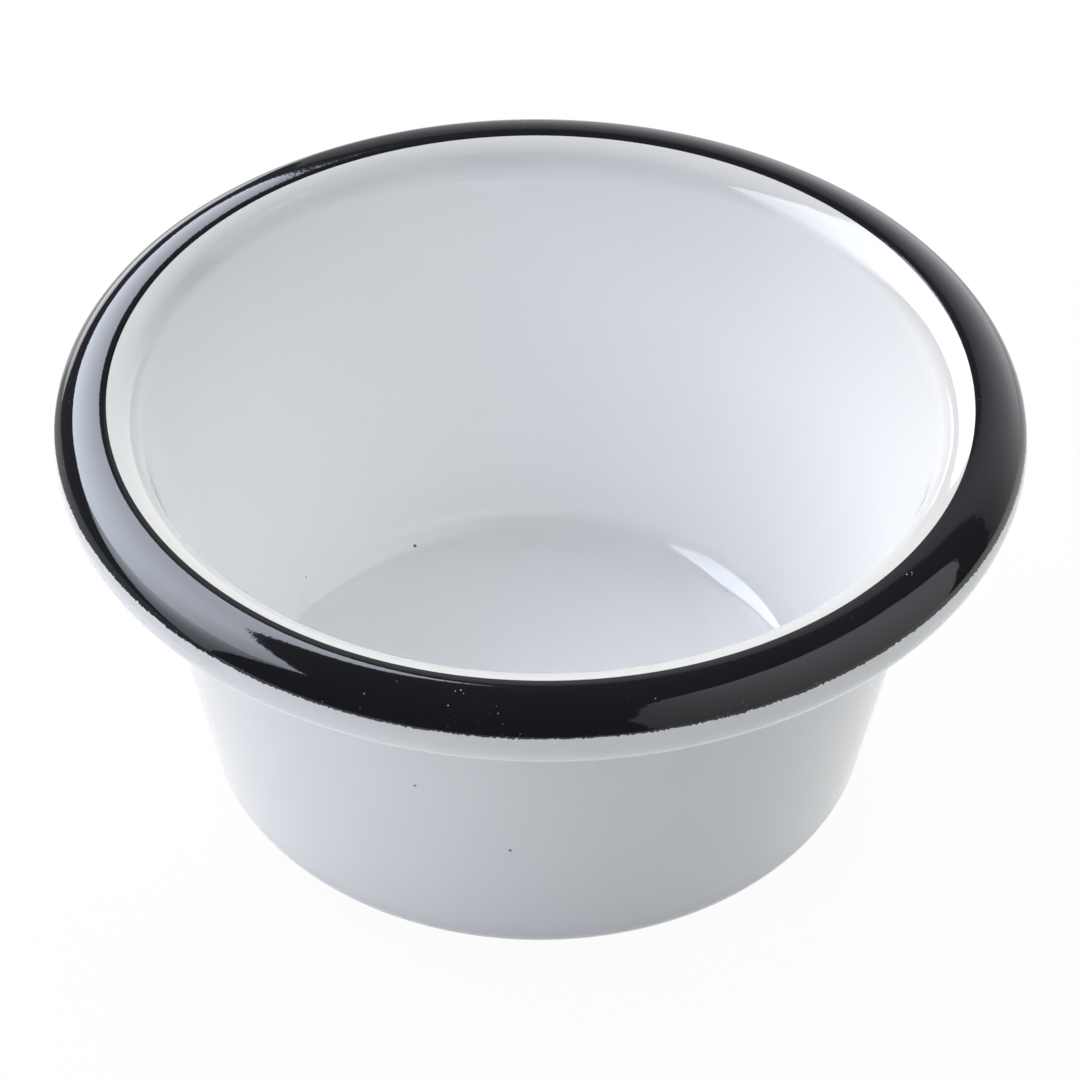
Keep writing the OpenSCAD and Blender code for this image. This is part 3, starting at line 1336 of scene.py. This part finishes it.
@dataclass
class Studio:
    """Floor, dark surround, lights and camera. The surround's radius is in metres."""

    aim: Vector
    base_radius: float
    floor_lap: float = 1.0
    floor_drop: float = 0.02
    floor_sides: int = 128
    floor_radius: float = 300.0
    floor_colour: Colour = (0.86, 0.87, 0.89)
    floor_lift: float = 0.95
    ambient: Colour = (0.92, 0.96, 1.0)
    ambient_strength: float = 0.03
    surround_radius: float = 3.0
    surround_rings: int = 16
    surround_sides: int = 32
    surround_colour: Colour = (0.9, 0.95, 1.0)
    surround_strength: float = 0.11
    sheets: tuple[GlowSheet, ...] = (KEY_SOFTBOX, KEY_SKIRT, FILL_CARD, BACKDROP, TABLE_GLARE, LOW_FLAG)
    lamps: tuple[Lamp, ...] = (
        Lamp("back_light", 0.0, 30.0, (1.0, 0.978, 0.88), 5.4),
        Lamp("left_light", -45.0, 35.0, (1.0, 0.80, 0.52), 3.8),
        Lamp("near_left_light", -122.0, 30.0, (0.78, 0.84, 0.96), 3.4),
        Lamp("front_light", 180.0, 55.0, (1.0, 0.85, 0.70), 0.7),
        Lamp("right_light", 90.0, 30.0, (1.0, 1.0, 0.98), 1.4),
        Lamp("high_right_light", 90.0, 60.0, (0.86, 0.94, 0.97), 3.0),
    )

    def build(self) -> None:
        """Sets up the whole studio."""
        self.build_world()
        self.build_floor()
        self.build_surround()
        for sheet in self.sheets:
            sheet.build(self.aim)
        for lamp in self.lamps:
            lamp.build(self.aim)
        Viewpoint().build()
        bpy.context.scene.view_settings.view_transform = "Standard"

    def build_world(self) -> None:
        """White where the background is seen, and a soft even light on the dish."""
        world = bpy.data.worlds.new("studio")
        bpy.context.scene.world = world
        world.use_nodes = True
        tree = world.node_tree
        tree.nodes.clear()
        light = add_node(tree, "ShaderNodeBackground", {
            "Color": (*self.ambient, 1), "Strength": self.ambient_strength})
        white = add_node(tree, "ShaderNodeBackground", {"Color": (1, 1, 1, 1), "Strength": 1.0})
        mixed = add_node(tree, "ShaderNodeMixShader", {
            0: seen_mask(tree), 1: light.outputs[0], 2: white.outputs[0]})
        add_node(tree, "ShaderNodeOutputWorld", {"Surface": mixed.outputs[0]})

    def build_floor(self) -> None:
        """Pale floor, open under the base and from below, that keeps the dish's shadow."""
        sides = self.floor_sides
        turns = [math.tau * i / sides for i in range(sides)]
        points = [(r * MM * math.cos(t), r * MM * math.sin(t), -self.floor_drop * MM)
                  for r in (self.base_radius - self.floor_lap, self.floor_radius) for t in turns]
        faces = [(i, i + sides, (i + 1) % sides + sides, (i + 1) % sides) for i in range(sides)]
        material, tree = new_material("pale_floor")
        matt = add_node(tree, "ShaderNodeBsdfDiffuse", {"Color": (*self.floor_colour, 1)})
        white = add_node(tree, "ShaderNodeEmission", {"Color": (1, 1, 1, 1), "Strength": 1.0})
        lift = calc(tree, "MULTIPLY", seen_mask(tree), self.floor_lift)
        lifted = add_node(tree, "ShaderNodeMixShader", {0: lift, 1: matt.outputs[0], 2: white.outputs[0]})
        clear = add_node(tree, "ShaderNodeBsdfTransparent")
        below = add_node(tree, "ShaderNodeNewGeometry").outputs["Backfacing"]
        sided = add_node(tree, "ShaderNodeMixShader", {0: below, 1: lifted.outputs[0], 2: clear.outputs[0]})
        add_node(tree, "ShaderNodeOutputMaterial", {"Surface": sided.outputs[0]})
        studio_piece("floor", points, faces, material)

    def build_surround(self) -> None:
        """Dark cloth round the studio, seen only in the gloss."""
        radius, rings, sides = self.surround_radius, self.surround_rings, self.surround_sides
        points, faces = [], []
        for i in range(rings + 1):
            for j in range(sides):
                up, turn = math.pi * (i / rings - 0.5), math.tau * j / sides
                points.append((radius * math.cos(up) * math.cos(turn),
                               radius * math.cos(up) * math.sin(turn),
                               radius * math.sin(up)))
        for i in range(rings):
            for j in range(sides):
                a, b = i * sides + j, i * sides + (j + 1) % sides
                faces.append((a, b, b + sides, a + sides))
        material, tree = new_material("dark_cloth")
        glow = add_node(tree, "ShaderNodeEmission", {
            "Color": (*self.surround_colour, 1), "Strength": self.surround_strength})
        add_node(tree, "ShaderNodeOutputMaterial", {"Surface": glow.outputs[0]})
        show_in_gloss_only(studio_piece("dark_surround", points, faces, material))


# The dish


@dataclass
class Ramekin:
    """The dish: its hidden sheet and ground coats, its three coats that show, and their flaws."""

    face: FiredFace

    def dress_hidden(self, groups: SharedGroups) -> None:
        """Gives the sheet and the ground coats their finishes.

        Args:
            groups: The shared shader groups.
        """
        sheet, ground = STEEL_SHEET.material(groups), GROUND_ENAMEL.material(groups)
        finishes = {Node.STEEL: sheet, Node.INNER_GROUND: ground, Node.OUTER_GROUND: ground}
        for node, material in finishes.items():
            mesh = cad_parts[node.value].data
            mesh.materials.clear()
            mesh.materials.append(material)
            LOG.info("%s: %s", node.value, material.name)

    def build(self, groups: SharedGroups) -> None:
        """Builds and dresses every piece that shows.

        Args:
            groups: The shared shader groups.
        """
        f = self.face
        white, black = WHITE_ENAMEL.material(groups), BLACK_ENAMEL.material(groups)
        turning, setting = turning_tree(), marks_tree()
        pieces = [
            InsideCoat(f, "inside_enamel", Node.INNER_WHITE, Slot.WHITE).build(turning, white),
            OutsideCoat(f, "outside_enamel", Node.OUTER_WHITE, Slot.WHITE).build(turning, white),
            BlackBand(f, "rim_band", Node.BLACK_BAND, Slot.BLACK).build(turning, black),
            BandPinholes(f, "band_pinholes", Slot.WHITE, 11).build(setting, PINHOLE_WHITE.material(groups)),
            IronSpecks(f, "iron_specks", Slot.BLACK, 5).build(setting, IRON_SPECK.material(groups)),
        ]
        for piece in pieces:
            LOG.info("%s: %d faces", piece.name, len(piece.data.polygons))


def main() -> None:
    """Builds the dish and its studio."""
    logging.basicConfig(level=logging.INFO, format="%(name)s: %(message)s")
    high = CAD_BOX[1]
    section = Section(rim_radius=high.x / MM, height=high.z / MM)
    groups = SharedGroups()
    dish = Ramekin(FiredFace(section))
    dish.dress_hidden(groups)
    dish.build(groups)
    Studio(aim=Vector((0.0, 0.0, high.z)), base_radius=section.fillet_centre.x).build()


if __name__ == "__main__":
    main()
